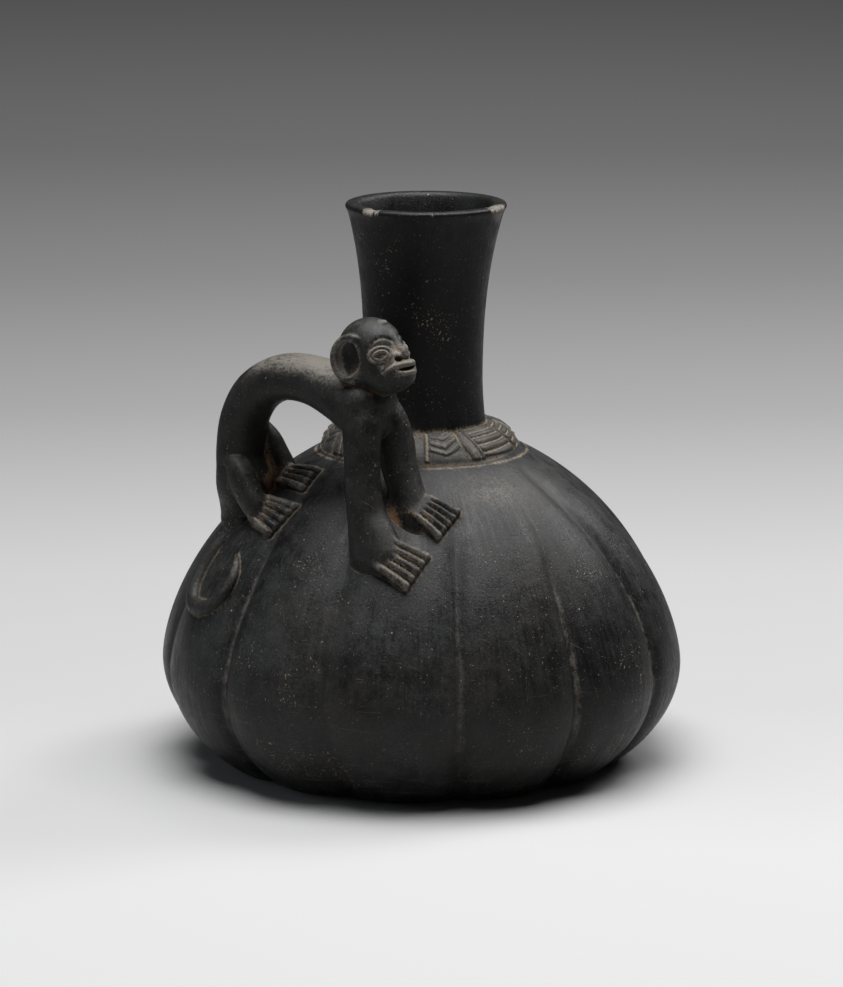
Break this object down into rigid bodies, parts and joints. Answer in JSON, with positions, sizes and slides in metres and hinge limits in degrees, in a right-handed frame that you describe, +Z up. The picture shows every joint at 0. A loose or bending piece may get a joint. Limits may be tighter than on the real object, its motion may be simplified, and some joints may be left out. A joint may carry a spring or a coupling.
{
  "type": "blackware jar",
  "caption": "Burnished blackware jar with a lobed gourd body, flared neck, knotted collar and a handle in the form of a standing monkey.",
  "frame": {"origin": "centre of the foot, on the surface that the jar stands on", "axes": "+Z up along the jar's axis; the monkey handle stands on the -Y side and faces +X"},
  "size_m": [0.1892, 0.1892, 0.2033],
  "materials": {
    "blackware": "burnished near-black clay, softly glossy, with tan dirt in the creases"
  },
  "bodies": {
    "root": {"jar": "blackware"}
  },
  "joints": []
}
